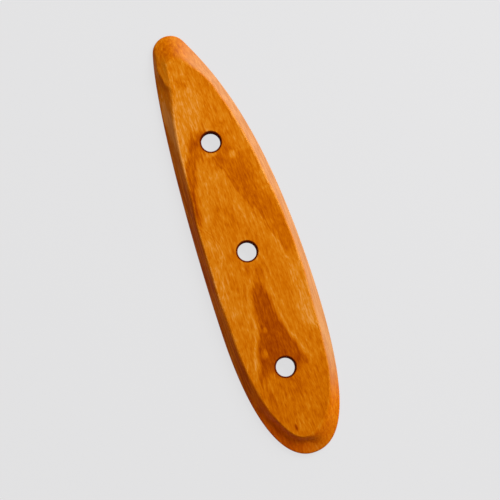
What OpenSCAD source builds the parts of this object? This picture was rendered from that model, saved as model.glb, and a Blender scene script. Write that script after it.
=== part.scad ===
// Hand scraper: one flat board of oiled hardwood, leaf shaped in plan, with three holes
// drilled through it on one line. All round the face a hollow bevel runs down to a thin
// working edge. It is widest at the pointed tip and at the round heel.
// The tool lies on its back: +Z is up, +Y points to the tip, and X runs across it.
// The origin is under the middle of its bounding box, on the flat back.

/* [Outline] */
// Length from the heel to the tip
overall_l = 305; // [260:1:340]
// Distance from the middle hole to the heel end
heel_reach = 145; // [135:1:160]
// Distance from the line of holes to the widest point of the right side
right_reach = 38; // [34:0.5:44]
// Distance from the line of holes to the widest point of the left side
left_reach = 34; // [30:0.5:40]
// How far the right side's widest point lies towards the heel from the middle hole
right_belly_drop = 25; // [10:1:50]
// How far the left side's widest point lies towards the heel from the middle hole
left_belly_drop = 48.5; // [20:0.5:65]
// Radius of the tip
tip_r = 12.3; // [9:0.1:15]
// How far the tip leans to the left of the line of holes
tip_lean = 6.8; // [0:0.1:10]
// How far the heel's end lies to the right of the line of holes
heel_lean = 0.6; // [0:0.1:4]
// Angle above level at which the tip's arc runs into the right side
tip_right_angle = 27; // [20:1:40]
// Angle above level at which the tip's arc runs into the left side
tip_left_angle = 16; // [8:1:30]

/* [Fullness of the sides] */
// Right side towards the tip: how straight it leaves its widest point
right_upper_full = 0.59; // [0.4:0.01:0.7]
// Right side towards the tip: how straight it meets the tip's arc
right_tip_full = 0.17; // [0.1:0.01:0.3]
// Left side towards the tip: how straight it leaves its widest point
left_upper_full = 0.39; // [0.3:0.01:0.6]
// Left side towards the tip: how straight it meets the tip's arc
left_tip_full = 0.17; // [0.1:0.01:0.3]
// Right side towards the heel: how straight it leaves its widest point
right_lower_full = 0.89; // [0.6:0.01:0.95]
// Right side of the heel: how broad the round end is
right_heel_full = 0.43; // [0.3:0.01:0.7]
// Left side towards the heel: how straight it leaves its widest point
left_lower_full = 0.73; // [0.6:0.01:0.95]
// Left side of the heel: how broad the round end is
left_heel_full = 0.54; // [0.3:0.01:0.7]

/* [Board and edge] */
// Thickness of the board
board_t = 10; // [8:0.1:13]
// Thickness left at the working edge
edge_t = 3; // [2:0.1:4]
// Softening where the bevel meets the edge
edge_ease = 0.8; // [0.4:0.1:1]
// Rounding between the edge and the back
back_ease = 1; // [0.4:0.1:1.5]

/* [Bevel] */
// Width of the bevel at the tip
tip_bevel_w = 16; // [10:0.1:20]
// Width of the bevel at the heel
heel_bevel_w = 11.5; // [7:0.1:15]
// Width of the bevel along the right side
right_bevel_w = 5.6; // [4:0.1:9]
// Width of the bevel along the left side
left_bevel_w = 5.9; // [4:0.1:9]
// Length over which the tip's bevel narrows on the right side
right_tip_run = 44; // [35:1:90]
// Length over which the tip's bevel narrows on the left side
left_tip_run = 84; // [60:1:100]
// Length over which the heel's bevel narrows on the right side
right_heel_run = 52; // [40:1:90]
// Length over which the heel's bevel narrows on the left side
left_heel_run = 80; // [60:1:120]
// How much narrower the bevel is along the middle of both sides
waist_cut = 1.1; // [0:0.1:2]
// Distance from the middle hole, towards the tip, at which half of that narrowing is gone
waist_to_tip = 35; // [20:1:50]
// Distance from the middle hole, towards the heel, at which half of that narrowing is gone
waist_to_heel = 32; // [20:1:50]
// Length over which the narrowing fades at each of its ends
waist_fade = 26; // [10:1:40]
// Distance below the tip of the point from which its bevel fans out
tip_fan = 35; // [28:1:46]
// Distance above the heel end of the point from which its bevel fans out
heel_fan = 36; // [28:1:50]
// Length over which the bevel turns from a side's slope to the fan at each end
fan_blend = 12; // [4:1:20]
// How suddenly the bevel widens towards the tip and the heel
bevel_growth = 2; // [1.5:0.1:3]
// How hollow the bevel is, where 0 is a flat bevel
bevel_hollow = 0.4; // [0:0.05:0.5]
// Softening of the shoulder between the bevel and the face, on each side of it
shoulder_ease = 1.3; // [0.6:0.1:1.6]

/* [Holes] */
// Diameter of each hole
bore_d = 13.2; // [8:0.1:16]
// Rounding of each hole's rim, on the face and on the back
bore_ease = 1.25; // [0.5:0.05:2]
// Distance from the middle hole to the one near the tip
tip_bore_pitch = 79.5; // [70:0.5:90]
// Distance from the middle hole to the one near the heel
heel_bore_pitch = 83.5; // [70:0.5:90]

/* [Hidden] */
// Steps along each side's curve, round each half of the tip, and across each part of the bevel
side_steps = 22;
tip_steps = 7;
hollow_steps = 4;
ease_steps = 3;
bore_facets = 96;
// The shaped form stands this much proud of the face and the back, which are then cut flat
form_over = 0.04;
// The holes' cutters and the board's blank stand this much past what they cut
cut_over = 2;

tip_y = overall_l - heel_reach;
tip_centre = [-tip_lean, tip_y - tip_r];
right_belly = [right_reach, -right_belly_drop];
left_belly = [-left_reach, -left_belly_drop];
heel_end = [heel_lean, -heel_reach];
tip_focus = [-tip_lean, tip_y - tip_fan];
heel_focus = [heel_lean, -heel_reach + heel_fan];
bbox_mid = [(right_reach - left_reach) / 2, (tip_y - heel_reach) / 2];
bore_places = [tip_bore_pitch, 0, -heel_bore_pitch];

function bezier(p0, p1, p2, p3, t) =
    pow(1 - t, 3) * p0 + 3 * pow(1 - t, 2) * t * p1 + 3 * (1 - t) * t * t * p2 + pow(t, 3) * p3;

function on_tip(angle) = tip_centre + tip_r * [cos(angle), sin(angle)];

// A side's curve from its widest point to where it runs into the tip's arc
function side_to_tip(belly, belly_full, tip_full, angle, along) =
    let(
        meet = on_tip(angle),
        reach = norm(meet - belly),
        turn = angle < 90 ? 1 : -1,
        arrive = turn * [-sin(angle), cos(angle)]
    )
    bezier(belly, belly + [0, belly_full * reach], meet - tip_full * reach * arrive, meet, along);

// A side's curve from its widest point to the end of the heel
function side_to_heel(belly, belly_full, heel_full, along) =
    let(
        down = [0, heel_end.y - belly.y],
        out = [belly.x - heel_end.x, 0]
    )
    bezier(belly, belly + belly_full * down, heel_end + heel_full * out, heel_end, along);

// The outline in plan, anticlockwise from the widest point of the right side
function outline() = concat(
    [for (i = [0 : side_steps - 1])
        side_to_tip(right_belly, right_upper_full, right_tip_full, tip_right_angle, i / side_steps)],
    [for (i = [0 : tip_steps - 1])
        on_tip(tip_right_angle + (90 - tip_right_angle) * i / tip_steps)],
    [for (i = [0 : tip_steps - 1])
        on_tip(90 + (90 - tip_left_angle) * i / tip_steps)],
    [for (i = [side_steps : -1 : 1])
        side_to_tip(left_belly, left_upper_full, left_tip_full, 180 - tip_left_angle, i / side_steps)],
    [for (i = [0 : side_steps - 1])
        side_to_heel(left_belly, left_lower_full, left_heel_full, i / side_steps)],
    [for (i = [side_steps : -1 : 1])
        side_to_heel(right_belly, right_lower_full, right_heel_full, i / side_steps)]
);

// A place along the spine, held back softly so that it never passes the limit
function held_below(place, limit) = limit - fan_blend * ln(1 + exp((limit - place) / fan_blend));

// The point of the tool's spine that the bevel at this point of the outline falls away from
function on_spine(point) =
    let(
        spine = tip_focus - heel_focus,
        spine_l = norm(spine),
        along = (point - heel_focus) * spine / spine_l,
        below_tip = held_below(along, spine_l)
    )
    heel_focus - held_below(-below_tip, 0) * spine / spine_l;

// How far a bevel has grown on its run: nothing before the start, then ever faster up to 1
function grown(share) = pow(min(max(share, 0), 1), bevel_growth);

// A fade that starts and ends softly: nothing up to half a length before its middle, then up to 1
function faded(lengths) =
    let(share = min(max(lengths + 0.5, 0), 1))
    share * share * (3 - 2 * share);

// How much narrower the bevel is at this distance from the middle hole
function waist(along) =
    waist_cut * faded((waist_to_tip - along) / waist_fade) * faded((along + waist_to_heel) / waist_fade);

// Width of the bevel at this point of the outline
function bevel_w(point) =
    let(
        right = point.x > on_spine(point).x,
        side_w = right ? right_bevel_w : left_bevel_w,
        tip_run = right ? right_tip_run : left_tip_run,
        heel_run = right ? right_heel_run : left_heel_run
    )
    side_w
    + (tip_bevel_w - side_w) * grown(1 - (tip_y - point.y) / tip_run)
    + (heel_bevel_w - side_w) * grown(1 - (point.y + heel_reach) / heel_run)
    - waist(point.y);

// Height of the hollow bevel at a share of its width, from the edge to the face
function bevel_z(share) =
    edge_t + (board_t + form_over - edge_t) * ((1 - bevel_hollow) * share + bevel_hollow * share * share);

function bend(p0, p1, p2, t) = pow(1 - t, 2) * p0 + 2 * (1 - t) * t * p1 + t * t * p2;

// The section through the edge, as pairs of distance in from the outline and height
function section(width) =
    let(
        edge_end = [edge_ease, bevel_z(edge_ease / width)],
        hollow_end = [width - shoulder_ease, bevel_z(1 - shoulder_ease / width)],
        face_start = [width + shoulder_ease, board_t + form_over]
    )
    concat(
        [for (i = [0 : ease_steps])
            bend([back_ease, -form_over], [0, -form_over], [0, back_ease], i / ease_steps)],
        [for (i = [0 : ease_steps])
            bend([0, edge_t - edge_ease], [0, edge_t], edge_end, i / ease_steps)],
        [for (i = [1 : hollow_steps - 1])
            let(inset = edge_end.x + (hollow_end.x - edge_end.x) * i / hollow_steps)
            [inset, bevel_z(inset / width)]],
        [for (i = [0 : ease_steps])
            bend(hollow_end, [width, board_t + form_over], face_start, i / ease_steps)]
    );

// The closed shape that the section makes round the whole outline
module shaped_form() {
    plan = outline();
    count = len(plan);
    rows = len(section(1));
    points = [
        for (point = plan)
            let(inward = (on_spine(point) - point) / norm(on_spine(point) - point))
            for (step = section(bevel_w(point)))
                [point.x + inward.x * step.x, point.y + inward.y * step.x, step.y]
    ];
    walls = [
        for (i = [0 : count - 1])
            for (j = [0 : rows - 2])
                let(next = (i + 1) % count)
                [i * rows + j, i * rows + j + 1, next * rows + j + 1, next * rows + j]
    ];
    back = [for (i = [0 : count - 1]) i * rows];
    face = [for (i = [count - 1 : -1 : 0]) i * rows + rows - 1];
    polyhedron(points = points, faces = concat(walls, [back], [face]), convexity = 4);
}

// The planed board, cut flat on its face and its back
module blank() {
    width = left_reach + right_reach + 2 * cut_over;
    translate([-left_reach - cut_over, -heel_reach - cut_over, 0])
        cube([width, overall_l + 2 * cut_over, board_t]);
}

// One hole through the board, with both of its rims rounded over
module eased_bore() {
    bore_r = bore_d / 2;
    face_rim = [
        for (i = [0 : ease_steps])
            let(angle = 90 * i / ease_steps)
            [bore_r + bore_ease * (1 - cos(angle)), board_t - bore_ease * (1 - sin(angle))]
    ];
    back_rim = [for (i = [ease_steps : -1 : 0]) [face_rim[i].x, board_t - face_rim[i].y]];
    ends = [
        [bore_r + bore_ease, board_t + cut_over],
        [0, board_t + cut_over],
        [0, -cut_over],
        [bore_r + bore_ease, -cut_over]
    ];
    rotate_extrude($fn = bore_facets)
        polygon(concat(face_rim, ends, back_rim));
}

module scraper_blade() {
    color("#c8781e")
        translate([-bbox_mid.x, -bbox_mid.y, 0])
            difference() {
                intersection() {
                    shaped_form();
                    blank();
                }
                for (place = bore_places)
                    translate([0, place, 0])
                        eased_bore();
            }
}

scraper_blade();
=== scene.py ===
import math

import bmesh
import bpy
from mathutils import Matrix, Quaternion, Vector


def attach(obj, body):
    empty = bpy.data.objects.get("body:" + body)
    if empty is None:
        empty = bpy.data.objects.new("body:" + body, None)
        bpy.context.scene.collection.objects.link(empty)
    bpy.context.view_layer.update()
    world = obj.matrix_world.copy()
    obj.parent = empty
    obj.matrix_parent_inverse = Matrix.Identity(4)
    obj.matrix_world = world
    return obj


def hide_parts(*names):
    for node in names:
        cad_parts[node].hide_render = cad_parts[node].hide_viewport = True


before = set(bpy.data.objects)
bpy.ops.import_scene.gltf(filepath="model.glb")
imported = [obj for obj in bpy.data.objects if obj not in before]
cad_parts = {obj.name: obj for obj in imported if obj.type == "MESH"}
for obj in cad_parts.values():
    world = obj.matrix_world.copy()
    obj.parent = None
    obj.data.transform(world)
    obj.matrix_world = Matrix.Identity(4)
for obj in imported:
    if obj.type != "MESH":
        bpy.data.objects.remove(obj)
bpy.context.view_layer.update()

# Camera
# It looks down on the face from a little to the lower left of square, so that the far walls of
# the bores show. It stands well back, and is rolled so that the tip leans to the left.
MM = 0.001
VIEW_AIM = Vector((0.4, -6.9, 5)) * MM
VIEW_DISTANCE = 2000 * MM
VIEW_ROLL = Quaternion((0, 0, 1), math.radians(-18.27))
VIEW_TILT = Quaternion((0.77, -0.64, 0), math.radians(5.5))
camera_data = bpy.data.cameras.new("camera")
camera_data.sensor_width = 36
camera_data.lens = 209.4
camera = bpy.data.objects.new("camera", camera_data)
camera.location = VIEW_AIM + VIEW_TILT @ Vector((0, 0, VIEW_DISTANCE))
camera.rotation_mode = "QUATERNION"
camera.rotation_quaternion = VIEW_TILT @ VIEW_ROLL
bpy.context.scene.collection.objects.link(camera)
bpy.context.scene.camera = camera

# Scraper board
# One thin board of flat-sawn cherry, sawn to a leaf shape, bored three times, and bevelled to a
# thin edge with a block plane and a file. It is rubbed with oil, which end grain drinks most.
OVERALL_L = 305 * MM
HEEL_REACH = 145 * MM
MIDDLE = Vector((-2 * MM, -7.5 * MM, 0))
RIGHT_BELLY = MIDDLE + Vector((38, -25, 0)) * MM
LEFT_BELLY = MIDDLE + Vector((-34, -48.5, 0)) * MM
TIP_R = 12.3 * MM
TIP_LEAN = 6.8 * MM
HEEL_LEAN = 0.6 * MM
TIP_RIGHT_ANGLE = math.radians(27)
TIP_LEFT_ANGLE = math.radians(90 + 74)
TIP_Y = MIDDLE.y + OVERALL_L - HEEL_REACH
HEEL_Y = MIDDLE.y - HEEL_REACH
TIP_CENTRE = Vector((MIDDLE.x - TIP_LEAN, TIP_Y - TIP_R, 0))
HEEL_END = Vector((MIDDLE.x + HEEL_LEAN, HEEL_Y, 0))


def on_tip(angle):
    """The place on the round of the tip at this angle, and the way round it there."""
    out = Vector((math.cos(angle), math.sin(angle), 0))
    return TIP_CENTRE + TIP_R * out, Vector((-out.y, out.x, 0))


def board_template():
    """The template's outline as (place, handle before, handle after), anticlockwise. A pull is
    how far a curve runs straight on from a place, as a share of the way to its other end."""
    right_heel_pull, right_tip_pull = 0.89, 0.59
    left_tip_pull, left_heel_pull = 0.39, 0.73
    heel_left_pull, heel_right_pull = 0.54, 0.43
    tip_pull = 0.17
    tip_turns = 3
    turn_angle = (TIP_LEFT_ANGLE - TIP_RIGHT_ANGLE) / tip_turns
    arc_handle = 4 / 3 * math.tan(turn_angle / 4) * TIP_R
    right_reach = (on_tip(TIP_RIGHT_ANGLE)[0] - RIGHT_BELLY).length
    left_reach = (on_tip(TIP_LEFT_ANGLE)[0] - LEFT_BELLY).length
    places = [
        (
            RIGHT_BELLY,
            RIGHT_BELLY + right_heel_pull * Vector((0, HEEL_END.y - RIGHT_BELLY.y, 0)),
            RIGHT_BELLY + Vector((0, right_tip_pull * right_reach, 0)),
        ),
    ]
    for turn in range(tip_turns + 1):
        place, way = on_tip(TIP_RIGHT_ANGLE + turn * turn_angle)
        before = tip_pull * right_reach if turn == 0 else arc_handle
        after = tip_pull * left_reach if turn == tip_turns else arc_handle
        places.append((place, place - before * way, place + after * way))
    places += [
        (
            LEFT_BELLY,
            LEFT_BELLY + Vector((0, left_tip_pull * left_reach, 0)),
            LEFT_BELLY + left_heel_pull * Vector((0, HEEL_END.y - LEFT_BELLY.y, 0)),
        ),
        (
            HEEL_END,
            HEEL_END + heel_left_pull * Vector((LEFT_BELLY.x - HEEL_END.x, 0, 0)),
            HEEL_END + heel_right_pull * Vector((RIGHT_BELLY.x - HEEL_END.x, 0, 0)),
        ),
    ]
    return places


def put(tree, kind, inputs=(), out=0, **settings):
    """Adds one node with its settings, and sets or links its inputs, which come in their order
    or by name or number; a list links several things to one input. Returns an output."""
    node = tree.nodes.new(kind)
    for name, value in settings.items():
        setattr(node, name, value)
    named = inputs if isinstance(inputs, dict) else dict(enumerate(inputs))
    for key, value in named.items():
        for part in value if isinstance(value, list) else [value]:
            if isinstance(part, bpy.types.NodeSocket):
                tree.links.new(part, node.inputs[key])
            else:
                node.inputs[key].default_value = part
    return node.outputs[out]


def section_place(tree, corners, row, steps):
    """Runs through the corners of a section: every second one is where a bend or a flat begins,
    and the one between pulls it. Gives the place of a row, as (inset, height, 0)."""
    places = [
        put(tree, "ShaderNodeCombineXYZ", corner) if isinstance(corner, tuple) else corner
        for corner in corners
    ]
    stretches = len(corners) // 2
    share = put(tree, "ShaderNodeMath", (row, steps), operation="DIVIDE")
    whole = put(tree, "ShaderNodeMath", {0: share}, operation="FLOOR")
    stretch = put(tree, "ShaderNodeMath", (whole, stretches - 1), operation="MINIMUM")
    along = put(tree, "ShaderNodeMath", (share, stretch), operation="SUBTRACT")
    picked = []
    for first in range(3):
        pick = put(tree, "GeometryNodeIndexSwitch", {"Index": stretch}, data_type="VECTOR")
        while len(pick.node.index_switch_items) < stretches:
            pick.node.index_switch_items.new()
        for number, place in enumerate(places[first::2][:stretches]):
            tree.links.new(place, pick.node.inputs[number + 1])
        picked.append(pick.node.outputs[0])
    start, pull, end = picked
    to_pull = put(tree, "ShaderNodeMix", {0: along, 4: start, 5: pull}, 1, data_type="VECTOR")
    to_end = put(tree, "ShaderNodeMix", {0: along, 4: pull, 5: end}, 1, data_type="VECTOR")
    return put(tree, "ShaderNodeMix", {0: along, 4: to_pull, 5: to_end}, 1, data_type="VECTOR")


def section_rows(tree, corners, steps):
    """A line of one point for each row of a section, which keeps its row's number."""
    stretches = len(corners) // 2
    count = put(tree, "ShaderNodeMath", (steps, stretches, 1), operation="MULTIPLY_ADD")
    line = put(tree, "GeometryNodeCurvePrimitiveLine")
    points = put(tree, "GeometryNodeResampleCurve", {"Curve": line, "Count": count})
    number = put(tree, "GeometryNodeInputIndex")
    numbered = {"Geometry": points, "Name": "row", "Value": number}
    return put(tree, "GeometryNodeStoreNamedAttribute", numbered)


def board_tree():
    """The node tree that bevels, eases and bores a board round the template's outline."""
    tree = bpy.data.node_groups.new("bevelled_board", "GeometryNodeTree")
    sizes = [
        ("Thickness", 10 * MM),
        ("Edge thickness", 3 * MM),
        ("Edge easing", 0.8 * MM),
        ("Back easing", 1 * MM),
        ("Tip bevel", 16 * MM),
        ("Heel bevel", 11.5 * MM),
        ("Right bevel", 5.6 * MM),
        ("Left bevel", 5.9 * MM),
        ("Right tip run", 44 * MM),
        ("Left tip run", 84 * MM),
        ("Right heel run", 52 * MM),
        ("Left heel run", 80 * MM),
        ("Tip fan", 35 * MM),
        ("Heel fan", 36 * MM),
        ("Fan blend", 12 * MM),
        ("Waist cut", 1.1 * MM),
        ("Waist above middle", 35 * MM),
        ("Waist below middle", 32 * MM),
        ("Waist fade", 26 * MM),
        ("Bevel hollow", 0.06),
        ("Left tip tilt", 0.3),
        ("Heel tilt", 0.29),
        ("Shoulder easing", 1.1 * MM),
        ("Tip shoulder softness", 2.2 * MM),
        ("Heel shoulder softness", 1.4 * MM),
        ("Second cut easing", 0.9 * MM),
        ("Cut waver", 0.35 * MM),
        ("Bore", 13.2 * MM),
        ("Bore easing", 1.25 * MM),
        ("Tip bore pitch", 79.5 * MM),
        ("Heel bore pitch", 83.5 * MM),
        ("Station spacing", 0.9 * MM),
    ]
    tree.interface.new_socket("Geometry", in_out="INPUT", socket_type="NodeSocketGeometry")
    for name, value in sizes:
        socket = tree.interface.new_socket(name, in_out="INPUT", socket_type="NodeSocketFloat")
        socket.default_value = value
    socket = tree.interface.new_socket("Bend steps", in_out="INPUT", socket_type="NodeSocketInt")
    socket.default_value = 6
    tree.interface.new_socket("Finish", in_out="INPUT", socket_type="NodeSocketMaterial")
    tree.interface.new_socket("Geometry", in_out="OUTPUT", socket_type="NodeSocketGeometry")
    size = tree.nodes.new("NodeGroupInput").outputs
    board_t, edge_t = size["Thickness"], size["Edge thickness"]
    edge_ease, back_ease, bore_ease = size["Edge easing"], size["Back easing"], size["Bore easing"]
    bend_steps, blend = size["Bend steps"], size["Fan blend"]
    rim = put(tree, "GeometryNodeInputNamedAttribute", {"Name": "rim"}, data_type="FLOAT_VECTOR")
    row = put(tree, "GeometryNodeInputNamedAttribute", {"Name": "row"}, data_type="FLOAT")
    rim_y = put(tree, "ShaderNodeSeparateXYZ", {0: rim}, "Y")

    # The spine that the bevels face: a line between the fans of tip and heel. Each pass measures
    # from its other end, and softly lets nothing lie past that end.
    tip_focus_y = put(tree, "ShaderNodeMath", (TIP_Y, size["Tip fan"]), operation="SUBTRACT")
    tip_focus = put(tree, "ShaderNodeCombineXYZ", (TIP_CENTRE.x, tip_focus_y))
    heel_focus_y = put(tree, "ShaderNodeMath", (HEEL_Y, size["Heel fan"]), operation="ADD")
    heel_focus = put(tree, "ShaderNodeCombineXYZ", (HEEL_END.x, heel_focus_y))
    spine = put(tree, "ShaderNodeVectorMath", (tip_focus, heel_focus), operation="SUBTRACT")
    spine_l = put(tree, "ShaderNodeVectorMath", {0: spine}, "Value", operation="LENGTH")
    spine_way = put(tree, "ShaderNodeVectorMath", {0: spine}, operation="NORMALIZE")
    from_heel = put(tree, "ShaderNodeVectorMath", (rim, heel_focus), operation="SUBTRACT")
    along = put(tree, "ShaderNodeVectorMath", (from_heel, spine_way), "Value", operation="DOT_PRODUCT")
    for turned in range(2):
        left = put(tree, "ShaderNodeMath", (spine_l, along), operation="SUBTRACT")
        share = put(tree, "ShaderNodeMath", (left, blend), operation="DIVIDE")
        power = put(tree, "ShaderNodeMath", {0: share}, operation="EXPONENT")
        more = put(tree, "ShaderNodeMath", (power, 1.0), operation="ADD")
        log = put(tree, "ShaderNodeMath", (more, math.e), operation="LOGARITHM")
        along = put(tree, "ShaderNodeMath", (log, blend), operation="MULTIPLY")
    up_spine = put(tree, "ShaderNodeVectorMath", {0: spine_way, "Scale": along}, operation="SCALE")
    on_spine = put(tree, "ShaderNodeVectorMath", (heel_focus, up_spine), operation="ADD")
    to_spine = put(tree, "ShaderNodeVectorMath", (on_spine, rim), operation="SUBTRACT")
    to_spine_x = put(tree, "ShaderNodeSeparateXYZ", {0: to_spine})
    on_right = put(tree, "FunctionNodeCompare", (to_spine_x, 0.0), operation="LESS_THAN")
    inward = put(tree, "ShaderNodeVectorMath", {0: to_spine}, operation="NORMALIZE")
    inward_x = put(tree, "ShaderNodeSeparateXYZ", {0: inward})

    # The bevel's width: narrow along the sides, swelling to the tip and the heel, and a little
    # narrower at the waist. The cut wavers slightly, as one made by eye does.
    sides = {}
    for part in ("bevel", "tip run", "heel run"):
        choice = {"Switch": on_right, "False": size[f"Left {part}"], "True": size[f"Right {part}"]}
        sides[part] = put(tree, "GeometryNodeSwitch", choice, input_type="FLOAT")
    width = sides["bevel"]
    shoulder = size["Shoulder easing"]
    swell = 2.0
    for end, place, way in (("Tip", TIP_Y, 1), ("Heel", HEEL_Y, -1)):
        off = put(tree, "ShaderNodeMath", (rim_y, place), operation="SUBTRACT")
        reach = put(tree, "ShaderNodeMath", (off, way), operation="MULTIPLY")
        near = put(tree, "ShaderNodeMath", (reach, sides[f"{end.lower()} run"]), operation="DIVIDE")
        share = put(tree, "ShaderNodeMath", (near, 1.0), operation="ADD", use_clamp=True)
        grown = put(tree, "ShaderNodeMath", (share, swell), operation="POWER")
        bevel = size[f"{end} bevel"]
        wider = put(tree, "ShaderNodeMath", (bevel, sides["bevel"]), operation="SUBTRACT")
        width = put(tree, "ShaderNodeMath", (wider, grown, width), operation="MULTIPLY_ADD")
        softer = size[f"{end} shoulder softness"]
        shoulder = put(tree, "ShaderNodeMath", (softer, grown, shoulder), operation="MULTIPLY_ADD")
    off = put(tree, "ShaderNodeMath", (rim_y, MIDDLE.y), operation="SUBTRACT")
    waist_ends = []
    for end, way in (("above", -1), ("below", 1)):
        reach = size[f"Waist {end} middle"]
        inside = put(tree, "ShaderNodeMath", (off, way, reach), operation="MULTIPLY_ADD")
        share = put(tree, "ShaderNodeMath", (inside, size["Waist fade"]), operation="DIVIDE")
        ended = put(tree, "ShaderNodeMapRange", (share, -0.5, 0.5), interpolation_type="SMOOTHSTEP")
        waist_ends.append(ended)
    waist = put(tree, "ShaderNodeMath", waist_ends, operation="MULTIPLY")
    narrower = put(tree, "ShaderNodeMath", (waist, size["Waist cut"]), operation="MULTIPLY")
    width = put(tree, "ShaderNodeMath", (width, narrower), operation="SUBTRACT")
    waver_seed, waves_a_metre, noise_swing = 3.0, 34.0, 0.25
    waves = {"Vector": rim, "W": waver_seed, "Scale": waves_a_metre, "Detail": 2.0}
    waver = put(tree, "ShaderNodeTexNoise", waves, noise_dimensions="4D")
    waver = put(tree, "ShaderNodeMath", (waver, 0.5), operation="SUBTRACT")
    waver_by = put(tree, "ShaderNodeMath", (size["Cut waver"], noise_swing), operation="DIVIDE")
    width = put(tree, "ShaderNodeMath", (waver, waver_by, width), operation="MULTIPLY_ADD")

    # Where each mark of the cutting, the oil and the painted light is on the board: a product of
    # soft steps, each as (what it goes by, start, end, low, high). Rows are counted in stretches
    # of the section, of which the shoulder's bend is the one from 7 to 8. The right bevel, which
    # faces the window, gets a painted pale sheen, and the left one, in shade, a painted deeper
    # orange shade colour; round the heel there is end grain. The shoulder is rubbed pale.
    row_share = put(tree, "ShaderNodeMath", (row, bend_steps), operation="DIVIDE")
    soft_steps = {
        "tip_cut": [(rim_y, 117 * MM, 123 * MM), (inward_x, 0.1, 0.6)],
        "heel_cut": [(rim_y, -104 * MM, -114 * MM), (inward_x, -0.35, 0.1)],
        # Painted sheen: a pale tint on the right bevel, the side that the window lights.
        "sapwood": [
            (inward_x, 0.05, -0.75),
            (rim_y, -128 * MM, -88 * MM),
            (rim_y, 112 * MM, 140 * MM, 1.0, 0.75),
            (row_share, 8.0, 7.2),
        ],
        # Painted shade colour: a deeper orange on the left bevel, the side in shade.
        "heartwood": [
            (inward_x, 0.7, 0.95),
            (rim_y, -128 * MM, -88 * MM),
            (rim_y, 45 * MM, 85 * MM, 1.0, 0.4),
            (row_share, 8.0, 7.2),
        ],
        "end_grain": [
            (inward_x, -0.7, 0.7, 0.15, 1.0),
            (rim_y, -88 * MM, -128 * MM),
            (row_share, 8.0, 7.2),
        ],
        "rubbed": [
            (row_share, 7.2, 8.0),
            (row_share, 9.0, 8.2),
            (rim_y, -60 * MM, 10 * MM, 0.3, 1.0),
            (rim_y, 110 * MM, 90 * MM, 0.3, 1.0),
        ],
    }
    marks = {}
    for name, steps in soft_steps.items():
        marks[name] = 1.0
        for step in steps:
            share = put(tree, "ShaderNodeMapRange", step, interpolation_type="SMOOTHSTEP")
            marks[name] = put(tree, "ShaderNodeMath", (marks[name], share), operation="MULTIPLY")

    # Where the bevel breaks, as a place in the section. Along the sides it is one cut, slightly
    # hollow. Left of the tip a flatter cut runs in from the shoulder, and at the heel another
    # runs in from the rim; each meets the steep cut in a soft crease that slants over the bevel.
    second_cuts = (marks["tip_cut"], marks["heel_cut"])
    second_cut = put(tree, "ShaderNodeMath", second_cuts, operation="MAXIMUM")
    shoulder = put(tree, "ShaderNodeMix", {0: second_cut, 2: shoulder, 3: size["Second cut easing"]})
    shoulder_in = put(tree, "ShaderNodeMath", (width, shoulder), operation="SUBTRACT")
    side_share = 0.5
    tip_share = put(tree, "ShaderNodeMapRange", (rim_y, 120 * MM, 132 * MM, 0.9, 0.2))
    heel_share = put(tree, "ShaderNodeMapRange", (rim_y, -110 * MM, -130 * MM, 0.15, 0.8))
    insets = []
    for share in (side_share, tip_share, heel_share):
        insets.append(put(tree, "ShaderNodeMix", {0: share, 2: edge_ease, 3: shoulder_in}))
    side_in, tip_in, heel_in = insets
    rise = put(tree, "ShaderNodeMath", (board_t, edge_t), operation="SUBTRACT")
    straight = put(tree, "ShaderNodeMath", (side_in, width), operation="DIVIDE")
    sunk = put(tree, "ShaderNodeMath", (straight, size["Bevel hollow"]), operation="SUBTRACT")
    side_up = put(tree, "ShaderNodeMath", (sunk, rise, edge_t), operation="MULTIPLY_ADD")
    rest = put(tree, "ShaderNodeMath", (width, tip_in), operation="SUBTRACT")
    fall = put(tree, "ShaderNodeMath", (rest, size["Left tip tilt"]), operation="MULTIPLY")
    tip_up = put(tree, "ShaderNodeMath", (board_t, fall), operation="SUBTRACT")
    heel_tilt = size["Heel tilt"]
    heel_up = put(tree, "ShaderNodeMath", (heel_in, heel_tilt, edge_t), operation="MULTIPLY_ADD")
    crease = put(tree, "ShaderNodeCombineXYZ", (side_in, side_up))
    vector = {"data_type": "VECTOR"}
    for name, inset, up in (("tip_cut", tip_in, tip_up), ("heel_cut", heel_in, heel_up)):
        second = put(tree, "ShaderNodeCombineXYZ", (inset, up))
        crease = put(tree, "ShaderNodeMix", {0: marks[name], 4: crease, 5: second}, 1, **vector)
    crease_in = put(tree, "ShaderNodeSeparateXYZ", {0: crease})
    edge_corner = put(tree, "ShaderNodeCombineXYZ", {"Y": edge_t})
    face_corner = put(tree, "ShaderNodeCombineXYZ", (width, board_t))
    outer_share = put(tree, "ShaderNodeMath", (edge_ease, crease_in), operation="DIVIDE")
    inner_flat = put(tree, "ShaderNodeMath", (shoulder_in, crease_in), operation="SUBTRACT")
    inner_whole = put(tree, "ShaderNodeMath", (width, crease_in), operation="SUBTRACT")
    inner_share = put(tree, "ShaderNodeMath", (inner_flat, inner_whole), operation="DIVIDE")
    side_bend, second_bend = 0.85, 0.3
    bends = (second_cut, 0.0, 1.0, side_bend, second_bend)
    bend = put(tree, "ShaderNodeMapRange", bends, interpolation_type="SMOOTHSTEP")
    outer_start = put(tree, "ShaderNodeMix", {0: outer_share, 4: edge_corner, 5: crease}, 1, **vector)
    inner_end = put(tree, "ShaderNodeMix", {0: inner_share, 4: crease, 5: face_corner}, 1, **vector)
    bend_start = put(tree, "ShaderNodeMix", {0: bend, 4: crease, 5: outer_start}, 1, **vector)
    bend_end = put(tree, "ShaderNodeMix", {0: bend, 4: crease, 5: inner_end}, 1, **vector)
    outer_mid = put(tree, "ShaderNodeMix", {0: 0.5, 4: outer_start, 5: bend_start}, 1, **vector)
    inner_mid = put(tree, "ShaderNodeMix", {0: 0.5, 4: bend_end, 5: inner_end}, 1, **vector)

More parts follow.
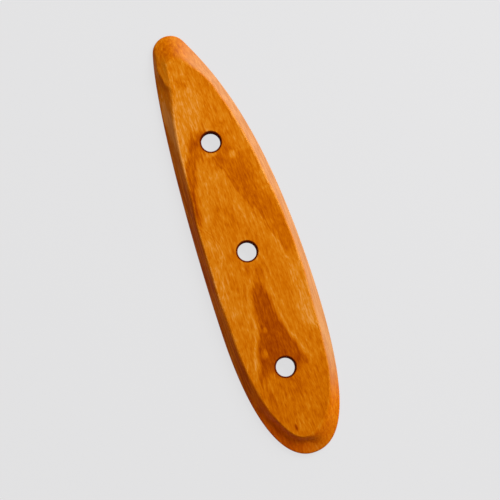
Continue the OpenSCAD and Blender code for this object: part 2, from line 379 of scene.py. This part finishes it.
    # The section, from the back round the thin edge and over the bevel to the face. It runs on
    # flat for a short lead at both ends, so that the planed faces start level.
    lead = 0.4 * MM
    back_lead = put(tree, "ShaderNodeMath", (back_ease, lead), operation="ADD")
    back_lead_mid = put(tree, "ShaderNodeMath", (back_ease, lead / 2), operation="ADD")
    edge_top = put(tree, "ShaderNodeMath", (edge_t, edge_ease), operation="SUBTRACT")
    edge_ends = put(tree, "ShaderNodeMath", (edge_top, back_ease), operation="ADD")
    edge_mid = put(tree, "ShaderNodeMath", (edge_ends, 0.5), operation="MULTIPLY")
    face_in = put(tree, "ShaderNodeMath", (width, shoulder), operation="ADD")
    face_lead_mid = put(tree, "ShaderNodeMath", (face_in, lead / 2), operation="ADD")
    face_lead = put(tree, "ShaderNodeMath", (face_in, lead), operation="ADD")
    board_corners = [
        (back_lead, 0.0),
        (back_lead_mid, 0.0),
        (back_ease, 0.0),
        (0.0, 0.0),
        (0.0, back_ease),
        (0.0, edge_mid),
        (0.0, edge_top),
        (0.0, edge_t),
        outer_start,
        outer_mid,
        bend_start,
        crease,
        bend_end,
        inner_mid,
        inner_end,
        face_corner,
        (face_in, board_t),
        (face_lead_mid, board_t),
        (face_lead, board_t),
    ]
    position = put(tree, "GeometryNodeInputPosition")
    spaced = {"Curve": size["Geometry"], "Length": size["Station spacing"]}
    stations = put(tree, "GeometryNodeResampleCurve", spaced, mode="LENGTH")
    placed = {"Geometry": stations, "Name": "rim", "Value": position}
    outline = put(tree, "GeometryNodeStoreNamedAttribute", placed, data_type="FLOAT_VECTOR")
    profile = section_rows(tree, board_corners, bend_steps)
    swept = put(tree, "GeometryNodeCurveToMesh", {"Curve": outline, "Profile Curve": profile})
    row_place = section_place(tree, board_corners, row, bend_steps)
    row_in, row_up = put(tree, "ShaderNodeSeparateXYZ", {0: row_place}).node.outputs[:2]
    inset_by = put(tree, "ShaderNodeVectorMath", {0: inward, "Scale": row_in}, operation="SCALE")
    flat_place = put(tree, "ShaderNodeVectorMath", (rim, inset_by), operation="ADD")
    up_by = put(tree, "ShaderNodeCombineXYZ", {"Z": row_up})
    band_place = put(tree, "ShaderNodeVectorMath", (flat_place, up_by), operation="ADD")
    band = put(tree, "GeometryNodeSetPosition", {"Geometry": swept, "Position": band_place})
    for name in ("sapwood", "heartwood", "end_grain", "rubbed"):
        marked = {"Geometry": band, "Name": name, "Value": marks[name]}
        band = put(tree, "GeometryNodeStoreNamedAttribute", marked)

    # One bore with both of its rims eased, turned round its axis and set at three places. All
    # that the drill and the easing cut is marked as bored, which fades out where a rim ends; the
    # finish turns it deep brown, for oil in the end grain and as painted shade.
    bore_r = put(tree, "ShaderNodeMath", (size["Bore"], 0.5), operation="MULTIPLY")
    rim_r = put(tree, "ShaderNodeMath", (bore_r, bore_ease), operation="ADD")
    rim_lead_mid = put(tree, "ShaderNodeMath", (rim_r, lead / 2), operation="ADD")
    rim_lead = put(tree, "ShaderNodeMath", (rim_r, lead), operation="ADD")
    wall_top = put(tree, "ShaderNodeMath", (board_t, bore_ease), operation="SUBTRACT")
    wall_mid = put(tree, "ShaderNodeMath", (board_t, 0.5), operation="MULTIPLY")
    bore_corners = [
        (rim_lead, board_t),
        (rim_lead_mid, board_t),
        (rim_r, board_t),
        (bore_r, board_t),
        (bore_r, wall_top),
        (bore_r, wall_mid),
        (bore_r, bore_ease),
        (bore_r, 0.0),
        (rim_r, 0.0),
        (rim_lead_mid, 0.0),
        (rim_lead, 0.0),
    ]
    circle = put(tree, "GeometryNodeCurvePrimitiveCircle", {"Resolution": 96, "Radius": bore_r})
    placed = {"Geometry": circle, "Name": "rim", "Value": position}
    round_path = put(tree, "GeometryNodeStoreNamedAttribute", placed, data_type="FLOAT_VECTOR")
    profile = section_rows(tree, bore_corners, bend_steps)
    tube = put(tree, "GeometryNodeCurveToMesh", {"Curve": round_path, "Profile Curve": profile})
    row_place = section_place(tree, bore_corners, row, bend_steps)
    row_r, row_up = put(tree, "ShaderNodeSeparateXYZ", {0: row_place}).node.outputs[:2]
    outward = put(tree, "ShaderNodeVectorMath", {0: rim}, operation="NORMALIZE")
    out_by = put(tree, "ShaderNodeVectorMath", {0: outward, "Scale": row_r}, operation="SCALE")
    up_by = put(tree, "ShaderNodeCombineXYZ", {"Z": row_up})
    wall_place = put(tree, "ShaderNodeVectorMath", (out_by, up_by), operation="ADD")
    bore = put(tree, "GeometryNodeSetPosition", {"Geometry": tube, "Position": wall_place})
    within = put(tree, "ShaderNodeMath", (rim_lead_mid, row_r), operation="SUBTRACT")
    bored = put(tree, "ShaderNodeMath", (within, lead), operation="DIVIDE", use_clamp=True)
    marked = {"Geometry": bore, "Name": "bored", "Value": bored}
    bore = put(tree, "GeometryNodeStoreNamedAttribute", marked)
    index = put(tree, "GeometryNodeInputIndex")
    spot = put(tree, "GeometryNodeIndexSwitch", {"Index": index}, data_type="VECTOR").node
    spot.index_switch_items.new()
    pitches = ((size["Tip bore pitch"], 1), (0.0, 0), (size["Heel bore pitch"], -1))
    for number, (pitch, way) in enumerate(pitches):
        y = put(tree, "ShaderNodeMath", (pitch, way, MIDDLE.y), operation="MULTIPLY_ADD")
        centre = put(tree, "ShaderNodeCombineXYZ", (MIDDLE.x, y))
        tree.links.new(centre, spot.inputs[number + 1])
    centres = {"Count": len(pitches), "Position": spot.outputs[0]}
    spots = put(tree, "GeometryNodePoints", centres)
    bores = put(tree, "GeometryNodeInstanceOnPoints", {"Points": spots, "Instance": bore})
    bores = put(tree, "GeometryNodeRealizeInstances", {"Geometry": bores})

    # The planed face and back, filled between the band and the rims of the bores.
    open_board = put(tree, "GeometryNodeJoinGeometry", {"Geometry": [band, bores]})
    beside = put(tree, "GeometryNodeInputMeshEdgeNeighbors")
    free = put(tree, "FunctionNodeCompare", {2: beside, 3: 1}, operation="EQUAL", data_type="INT")
    height = put(tree, "ShaderNodeSeparateXYZ", {0: position}, "Z")
    parts = [open_board]
    for operation, level in (("GREATER_THAN", board_t), ("LESS_THAN", 0.0)):
        here = put(tree, "FunctionNodeCompare", (height, wall_mid), operation=operation)
        loop = put(tree, "FunctionNodeBooleanMath", (free, here), operation="AND")
        loops = put(tree, "GeometryNodeMeshToCurve", {"Mesh": open_board, "Selection": loop})
        filled = put(tree, "GeometryNodeFillCurve", {"Curve": loops})
        lift = put(tree, "ShaderNodeCombineXYZ", {"Z": level})
        parts.append(put(tree, "GeometryNodeSetPosition", {"Geometry": filled, "Offset": lift}))
    whole = put(tree, "GeometryNodeJoinGeometry", {"Geometry": parts})
    welded = put(tree, "GeometryNodeMergeByDistance", {"Geometry": whole, "Distance": 0.003 * MM})
    for name in ("rim", "row"):
        welded = put(tree, "GeometryNodeRemoveAttribute", {"Geometry": welded, "Name": name})
    smooth = put(tree, "GeometryNodeSetShadeSmooth", {"Geometry": welded})
    real = put(tree, "GeometryNodeRealizeInstances", {"Geometry": smooth})
    coated = {"Geometry": real, "Material": size["Finish"]}
    finished = put(tree, "GeometryNodeSetMaterial", coated)
    tree.links.new(finished, tree.nodes.new("NodeGroupOutput").inputs[0])
    return tree


def linear(hex_colour):
    """A colour written as #rrggbb, as the linear values that a shader takes."""
    parts = [int(hex_colour[k : k + 2], 16) / 255 for k in (1, 3, 5)]
    return (*(c / 12.92 if c <= 0.04045 else ((c + 0.055) / 1.055) ** 2.4 for c in parts), 1.0)


def oiled_cherry():
    """Flat-sawn cherry, planed and scraped smooth, then rubbed with oil. The saw has cut the
    growth rings at a slant, so that they stand on the face as nested arches: a dark one over
    the pale tongue in the middle, and a dark flame from the tree's heart below. The oil makes
    the wood a deep warm orange with a soft satin sheen, and sinks in darkest where it is bored,
    where painted shade darkens it too. The right bevel has a painted pale sheen, and the left a
    painted deeper shade colour."""
    finish = bpy.data.materials.new("cherry_scraped_and_oiled")
    finish.use_nodes = True
    tree = finish.node_tree
    tree.nodes.clear()
    # Everything here is measured in mm on the board, whose face is at this height.
    face_z = 10.0
    in_metres = put(tree, "ShaderNodeTexCoord", out="Object")
    place = put(tree, "ShaderNodeVectorMath", {0: in_metres, "Scale": 1000.0}, operation="SCALE")
    x, y, z = put(tree, "ShaderNodeSeparateXYZ", {0: place}).node.outputs
    soft = {"interpolation_type": "SMOOTHSTEP"}

    def figure(wide, long, seed, detail=2.0, roughness=0.5):
        """Soft noise drawn out along the board, about so many mm wide and long."""
        shrink = (1 / wide, 1 / long, 1 / wide)
        spot = put(tree, "ShaderNodeVectorMath", (place, shrink), operation="MULTIPLY")
        noise = {"Vector": spot, "W": seed, "Scale": 1.0, "Detail": detail, "Roughness": roughness}
        return put(tree, "ShaderNodeTexNoise", noise, noise_dimensions="4D")

    def added(base, value, weight):
        """The base with the value's swing about its middle added, weight times."""
        swing = put(tree, "ShaderNodeMath", (value, 0.5), operation="SUBTRACT")
        return put(tree, "ShaderNodeMath", (swing, weight, base), operation="MULTIPLY_ADD")

    # Each growth ring is named by the height on the board at which its arch peaks. The rings
    # slant down into the board, so a cut below the face shows the ones from further up.
    wander = added(x, figure(24, 60, seed=1.0), weight=6.0)
    ring_slant = 2.5
    depth = put(tree, "ShaderNodeMath", (face_z, z), operation="SUBTRACT")
    sunk = put(tree, "ShaderNodeMath", (depth, ring_slant, y), operation="MULTIPLY_ADD")
    ragged = added(sunk, figure(7, 20, seed=2.0), weight=26.0)
    ragged = added(ragged, figure(1.6, 14, seed=3.0), weight=16.0)
    # The flame stays slender to below its middle, and then flares towards the heel's bore.
    low_middle = put(tree, "ShaderNodeMapRange", (y, -20, -40, -1.5, -3.4), **soft)
    slender = put(tree, "ShaderNodeMapRange", (y, -40, -60, 0.0, 13.0), **soft)
    flare = put(tree, "ShaderNodeMapRange", (y, -62, -80, 0.0, -16.0), **soft)
    belled = put(tree, "ShaderNodeMath", (slender, flare), operation="ADD")
    belled = put(tree, "ShaderNodeMath", (belled, ragged), operation="ADD")
    # The upper arches stand a little to the left of the lower ones, and are blunter. On each
    # side of its middle an arch is (so steep, so broad at its crown).
    crown_blend = 3.0
    peaks = []
    for middle, height, left, right in (
        (-8.0, ragged, (3.2, 6.6), (2.9, 3.5)),
        (low_middle, belled, (4.4, 3.2), (4.4, 3.2)),
    ):
        aside = put(tree, "ShaderNodeMath", (wander, middle), operation="SUBTRACT")
        off = put(tree, "ShaderNodeMath", {0: aside}, operation="ABSOLUTE")
        on_right = put(tree, "ShaderNodeMapRange", (aside, -4, 4), **soft)
        steep = put(tree, "ShaderNodeMix", {0: on_right, 2: left[0], 3: right[0]})
        crown = put(tree, "ShaderNodeMix", {0: on_right, 2: left[1], 3: right[1]})
        past = put(tree, "ShaderNodeMath", (off, crown), operation="SUBTRACT")
        limb = put(tree, "ShaderNodeMath", (past, 0.0, crown_blend), operation="SMOOTH_MAX")
        peak = put(tree, "ShaderNodeMath", (limb, steep, height), operation="MULTIPLY_ADD")
        peaks.append(peak)
    upper_peak, lower_peak = peaks

    # How pale the wood is in each ring, from 0, the darkest heartwood, to 1, as (ring, tone).
    # The right half of the upper arches has its own rings, and the lower arches have theirs.
    low_ring, high_ring = -120.0, 160.0
    upper_left = [
        (20, 0.62), (50, 0.74), (58, 0.74), (63, 0.42), (78, 0.4),
        (86, 0.79), (106, 0.8), (124, 0.7), (160, 0.6),
    ]
    upper_right = [
        (20, 0.62), (50, 0.72), (58, 0.66), (66, 0.46), (92, 0.44),
        (112, 0.6), (130, 0.66), (160, 0.58),
    ]
    lower = [
        (-120, 0.22), (-36, 0.2), (-22, 0.7), (-16, 0.78), (-7, 0.6), (0, 0.68),
        (20, 0.6), (45, 0.64), (64, 0.78), (90, 0.74), (120, 0.62),
    ]
    tones = []
    for peak, rings in ((upper_peak, upper_left), (upper_peak, upper_right), (lower_peak, lower)):
        ring_share = put(tree, "ShaderNodeMapRange", (peak, low_ring, high_ring))
        tone = put(tree, "ShaderNodeValToRGB", {0: ring_share})
        stops = tone.node.color_ramp.elements
        while len(stops) < len(rings):
            stops.new(1.0)
        for stop, (ring, pale) in zip(stops, rings):
            stop.position = (ring - low_ring) / (high_ring - low_ring)
            stop.color = (pale, pale, pale, 1.0)
        tones.append(tone)
    # On the right the dark arch is broad and washed out, and the flame ends at the heel's bore.
    below_flame_tone = 0.56
    rightward = put(tree, "ShaderNodeMapRange", (x, -3, 6), **soft)
    upper_tone = put(tree, "ShaderNodeMix", {0: rightward, 2: tones[0], 3: tones[1]})
    flame_end = added(y, figure(6, 9, seed=6.0), weight=14.0)
    below_flame = put(tree, "ShaderNodeMapRange", (flame_end, -86, -100), **soft)
    lower_tone = put(tree, "ShaderNodeMix", {0: below_flame, 2: tones[2], 3: below_flame_tone})
    # The upper arches give way to the lower ones along a line that slants over the board.
    line_slant = 0.35
    slanted = put(tree, "ShaderNodeMath", (x, line_slant, y), operation="MULTIPLY_ADD")
    downward = put(tree, "ShaderNodeMapRange", (slanted, 14, -10), **soft)
    tone = put(tree, "ShaderNodeMix", {0: downward, 2: upper_tone, 3: lower_tone})
    peak = put(tree, "ShaderNodeMix", {0: downward, 2: upper_peak, 3: lower_peak})
    # Pin knots that the plane has cut through, a gum pocket by the heel, slow clouds of paler or
    # darker wood, and a long pale strip and a dark one along the left shoulder, as (place across,
    # place along, width, length, how much paler).
    fleck_depth = 10.0
    for across, up, wide, long, paler in (
        (9.4, 59.5, 3.0, 3.4, 0.32),
        (-4.6, 63.6, 4.2, 2.2, 0.34),
        (-7.4, -63.0, 1.7, 2.6, 0.34),
        (-12.9, -78.5, 2.4, 4.2, 0.36),
        (-8.4, 114.5, 3.4, 3.4, -0.16),
        (-7.9, -132.4, 1.0, 3.0, -0.45),
        (-18.0, -112.0, 3.4, 11.0, -0.18),
        (0.0, -104.0, 9.0, 9.0, -0.1),
        (25.0, -11.0, 4.5, 9.0, -0.2),
        (-25.5, 98.0, 3.5, 24.0, 0.55),
        (0.0, -150.0, 16.0, 5.0, 0.12),
        (-23.0, -42.0, 6.0, 20.0, 0.14),
        (22.0, -58.0, 7.0, 14.0, 0.12),
        (-1.0, -21.0, 9.0, 7.0, -0.16),
        (-9.0, 141.0, 9.0, 8.0, -0.16),
        (-25.5, 34.0, 3.6, 16.0, -0.24),
        (16.0, 50.0, 7.0, 12.0, -0.1),
        (-16.0, 73.0, 5.0, 6.0, -0.12),
    ):
        middle = (across, up, face_z)
        away = put(tree, "ShaderNodeVectorMath", (place, middle), operation="SUBTRACT")
        shrink = (1 / wide, 1 / long, 1 / fleck_depth)
        drawn = put(tree, "ShaderNodeVectorMath", (away, shrink), operation="MULTIPLY")
        far = put(tree, "ShaderNodeVectorMath", {0: drawn}, "Value", operation="LENGTH")
        fleck = put(tree, "ShaderNodeMapRange", (far, 1.25, 0.35), **soft)
        tone = put(tree, "ShaderNodeMath", (fleck, paler, tone), operation="MULTIPLY_ADD")
    # Thin lines within the rings, about 1 mm apart across the grain, then fibres and pores, and
    # a slow change of shade over the board. Real fibres and pores are under 0.1 mm wide, which
    # is too fine for the render, so they are drawn 1 to 2.5 mm wide, as bundles of them look.
    lines_a_mm = 0.22
    line_at = put(tree, "ShaderNodeMath", (peak, lines_a_mm), operation="MULTIPLY")
    along_peaks = {"W": line_at, "Scale": 1.0, "Detail": 3.0}
    lines = put(tree, "ShaderNodeTexNoise", along_peaks, noise_dimensions="1D")
    fibres = figure(1.7, 14, seed=4.0, detail=3.0, roughness=0.6)
    tone = added(tone, lines, weight=0.35)
    tone = added(tone, fibres, weight=0.68)
    tone = added(tone, figure(0.9, 5, seed=7.0, roughness=0.6), weight=0.62)
    tone = added(tone, figure(2.4, 4, seed=8.0), weight=0.35)
    tone = added(tone, figure(9, 12, seed=5.0), weight=0.3)
    rubbed_pale = 0.26
    rubbed = put(tree, "ShaderNodeAttribute", out="Fac", attribute_name="rubbed")
    tone = put(tree, "ShaderNodeMath", (rubbed, rubbed_pale, tone), operation="MULTIPLY_ADD")

    # Oiled cherry from the darkest heart of the tree to the palest rings, in even steps.
    shades = ("#963800", "#aa4a00", "#c15e00", "#d47202", "#e08716", "#eea24c")
    shade = put(tree, "ShaderNodeValToRGB", {0: tone})
    stops = shade.node.color_ramp.elements
    while len(stops) < len(shades):
        stops.new(1.0)
    for number, (stop, colour) in enumerate(zip(stops, shades)):
        stop.position = number / (len(shades) - 1)
        stop.color = linear(colour)
    # What each cut bares, and the light painted on the bevels, as (mark, how much of it shows,
    # colour, how streaked). The pale tint on the right bevel is a painted sheen, the deeper orange
    # on the left bevel a painted shade colour, and the tint round the heel is end grain. The bevels
    # cut the rings at a steep slant, which bares them as darker streaks.
    drawn_out = figure(1.5, 30, seed=9.0)
    streaks = put(tree, "ShaderNodeMapRange", (drawn_out, 0.38, 0.62), **soft)
    for name, most, colour, streaked in (
        ("sapwood", 0.74, "#c89466", 0.3),
        ("heartwood", 0.62, "#dc6c0a", 0.65),
        ("end_grain", 0.6, "#ea5e00", 0.4),
    ):
        bared_or_painted = put(tree, "ShaderNodeAttribute", out="Fac", attribute_name=name)
        share = put(tree, "ShaderNodeMath", (bared_or_painted, most), operation="MULTIPLY")
        wood = {0: share, 6: shade, 7: linear(colour)}
        shade = put(tree, "ShaderNodeMix", wood, 2, data_type="RGBA")
        share = put(tree, "ShaderNodeMath", (streaks, streaked), operation="MULTIPLY")
        share = put(tree, "ShaderNodeMath", (share, bared_or_painted), operation="MULTIPLY")
        streak = {0: share, 6: shade, 7: linear("#c08a50")}
        shade = put(tree, "ShaderNodeMix", streak, 2, data_type="RGBA", blend_type="MULTIPLY")
    # The bores and their eased rims are deep brown: partly oil sunk into the end grain, partly painted
    # shade inside the bores.
    bored = put(tree, "ShaderNodeAttribute", out="Fac", attribute_name="bored")
    soaked_and_shaded = {0: bored, 6: shade, 7: linear("#5e1800")}
    shade = put(tree, "ShaderNodeMix", soaked_and_shaded, 2, data_type="RGBA")

    # Satin on the scraped faces, rougher where a drill cut it and smoother where it is rubbed.
    scraped_rough = 0.36
    rough = added(scraped_rough, fibres, weight=0.12)
    for mark, rougher in ((bored, 0.64), (rubbed, -0.06)):
        rough = put(tree, "ShaderNodeMath", (mark, rougher, rough), operation="MULTIPLY_ADD")
    grain = {"Strength": 0.35, "Distance": 0.05 * MM, "Height": fibres}
    oiled = {
        "Base Color": shade,
        "Roughness": rough,
        "Specular IOR Level": 0.08,
        "Specular Tint": linear("#ffa050"),
        "Normal": put(tree, "ShaderNodeBump", grain),
    }
    shader = put(tree, "ShaderNodeBsdfPrincipled", oiled)
    tree.links.new(shader, tree.nodes.new("ShaderNodeOutputMaterial").inputs[0])
    return finish


template = bpy.data.curves.new("template", "CURVE")
template.dimensions = "2D"
template.fill_mode = "NONE"
template.resolution_u = 64
outline_line = template.splines.new("BEZIER")
outline_places = board_template()
outline_line.bezier_points.add(len(outline_places) - 1)
outline_line.use_cyclic_u = True
for point, (place, before, after) in zip(outline_line.bezier_points, outline_places):
    point.handle_left_type = point.handle_right_type = "FREE"
    point.co, point.handle_left, point.handle_right = place, before, after
blank = bpy.data.objects.new("template", template)
bpy.context.scene.collection.objects.link(blank)
bevels = blank.modifiers.new("bevels", "NODES")
bevels.node_group = board_tree()
cherry = oiled_cherry()
for socket in bevels.node_group.interface.items_tree:
    if socket.name == "Finish":
        bevels[socket.identifier] = cherry
graph = bpy.context.evaluated_depsgraph_get()
board_mesh = bpy.data.meshes.new_from_object(blank.evaluated_get(graph))
bpy.data.objects.remove(blank)
shell = bmesh.new()
shell.from_mesh(board_mesh)
bmesh.ops.recalc_face_normals(shell, faces=shell.faces)
shell.to_mesh(board_mesh)
shell.free()
board_mesh.name = "scraper_board"
board = bpy.data.objects.new("scraper_board", board_mesh)
bpy.context.scene.collection.objects.link(board)
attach(board, "root")
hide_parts("scraper_blade")

# Floor
# A wide sheet of pale matt paper that the scraper lies on. It glows a little to the camera and
# in reflections, so that the ground stays pale while the board's shadow still shows.
SHEET_HALF = 3000 * MM
SHEET_GAP = 0.02 * MM
sheet_corners = [(x * SHEET_HALF, y * SHEET_HALF, 0) for x, y in ((-1, -1), (1, -1), (1, 1), (-1, 1))]
floor_mesh = bpy.data.meshes.new("floor")
floor_mesh.from_pydata(sheet_corners, [], [(0, 1, 2, 3)])
floor = bpy.data.objects.new("floor", floor_mesh)
floor.location.z = -SHEET_GAP
bpy.context.scene.collection.objects.link(floor)
# Paper has no gloss, so the ground is one even pale grey, and is darker only in the shadow.
paper = bpy.data.materials.new("pale_matt_paper")
paper.use_nodes = True
paper_tree = paper.node_tree
paper_tree.nodes.clear()
paper_matt = put(paper_tree, "ShaderNodeBsdfDiffuse", {"Color": linear("#4e4e4f")})
paper_glow = put(paper_tree, "ShaderNodeEmission", {"Color": linear("#dadadb"), "Strength": 1.0})
paper_seen = put(paper_tree, "ShaderNodeAddShader", (paper_matt, paper_glow))
paper_plain = put(paper_tree, "ShaderNodeBsdfDiffuse", {"Color": linear("#b4b4b5")})
ray = put(paper_tree, "ShaderNodeLightPath").node.outputs
seen = ray["Is Camera Ray"]
for other in ("Is Glossy Ray", "Is Transmission Ray"):
    seen = put(paper_tree, "ShaderNodeMath", (seen, ray[other]), operation="MAXIMUM")
paper_out = put(paper_tree, "ShaderNodeMixShader", (seen, paper_plain, paper_seen))
paper_tree.links.new(paper_out, paper_tree.nodes.new("ShaderNodeOutputMaterial").inputs[0])
floor_mesh.materials.append(paper)

# Lights
# A broad soft window light from the upper right, a lower one beside it that gives the right
# bevel its sheen, and a pale room, warm on the left and dimmer overhead, that fills the shadows.
for name, watts, wide, high, way, rise, distance in (
    ("window", 23.4, 0.8, 0.8, (0.893, 0.45), 40, 1.5),
    ("low_window", 3.6, 1.2, 0.22, (0.91, 0.38), 9, 1.0),
):
    lamp = bpy.data.lights.new(name, "AREA")
    lamp.shape = "RECTANGLE"
    lamp.size, lamp.size_y = wide, high
    lamp.energy = watts
    lamp_object = bpy.data.objects.new(name, lamp)
    level, up = math.cos(math.radians(rise)), math.sin(math.radians(rise))
    way = Vector(way).normalized()
    lamp_object.location = Vector((way.x * level, way.y * level, up)) * distance
    lamp_object.rotation_euler = lamp_object.location.to_track_quat("Z", "Y").to_euler()
    bpy.context.scene.collection.objects.link(lamp_object)
WARM_WALL = (1.0, 0.72, 0.5, 1.0)
COOL_WALL = (0.95, 0.98, 1.0, 1.0)
LOW_GLOW, TOP_GLOW = 0.46, 0.2
room = bpy.data.worlds.new("room")
bpy.context.scene.world = room
room.use_nodes = True
room_tree = room.node_tree
room_way = put(room_tree, "ShaderNodeTexCoord", out="Generated")
room_parts = put(room_tree, "ShaderNodeSeparateXYZ", {0: room_way}).node.outputs
room_level = put(room_tree, "ShaderNodeMapRange", (room_parts["Z"], 0.0, 1.0, LOW_GLOW, TOP_GLOW))
room_side = put(room_tree, "ShaderNodeMapRange", (room_parts["X"], -0.8, 0.4))
room_walls = {0: room_side, 6: WARM_WALL, 7: COOL_WALL}
room_shade = put(room_tree, "ShaderNodeMix", room_walls, 2, data_type="RGBA")
room_glow = room_tree.nodes["Background"]
room_tree.links.new(room_shade, room_glow.inputs["Color"])
room_tree.links.new(room_level, room_glow.inputs["Strength"])
bpy.context.scene.view_settings.view_transform = "Standard"
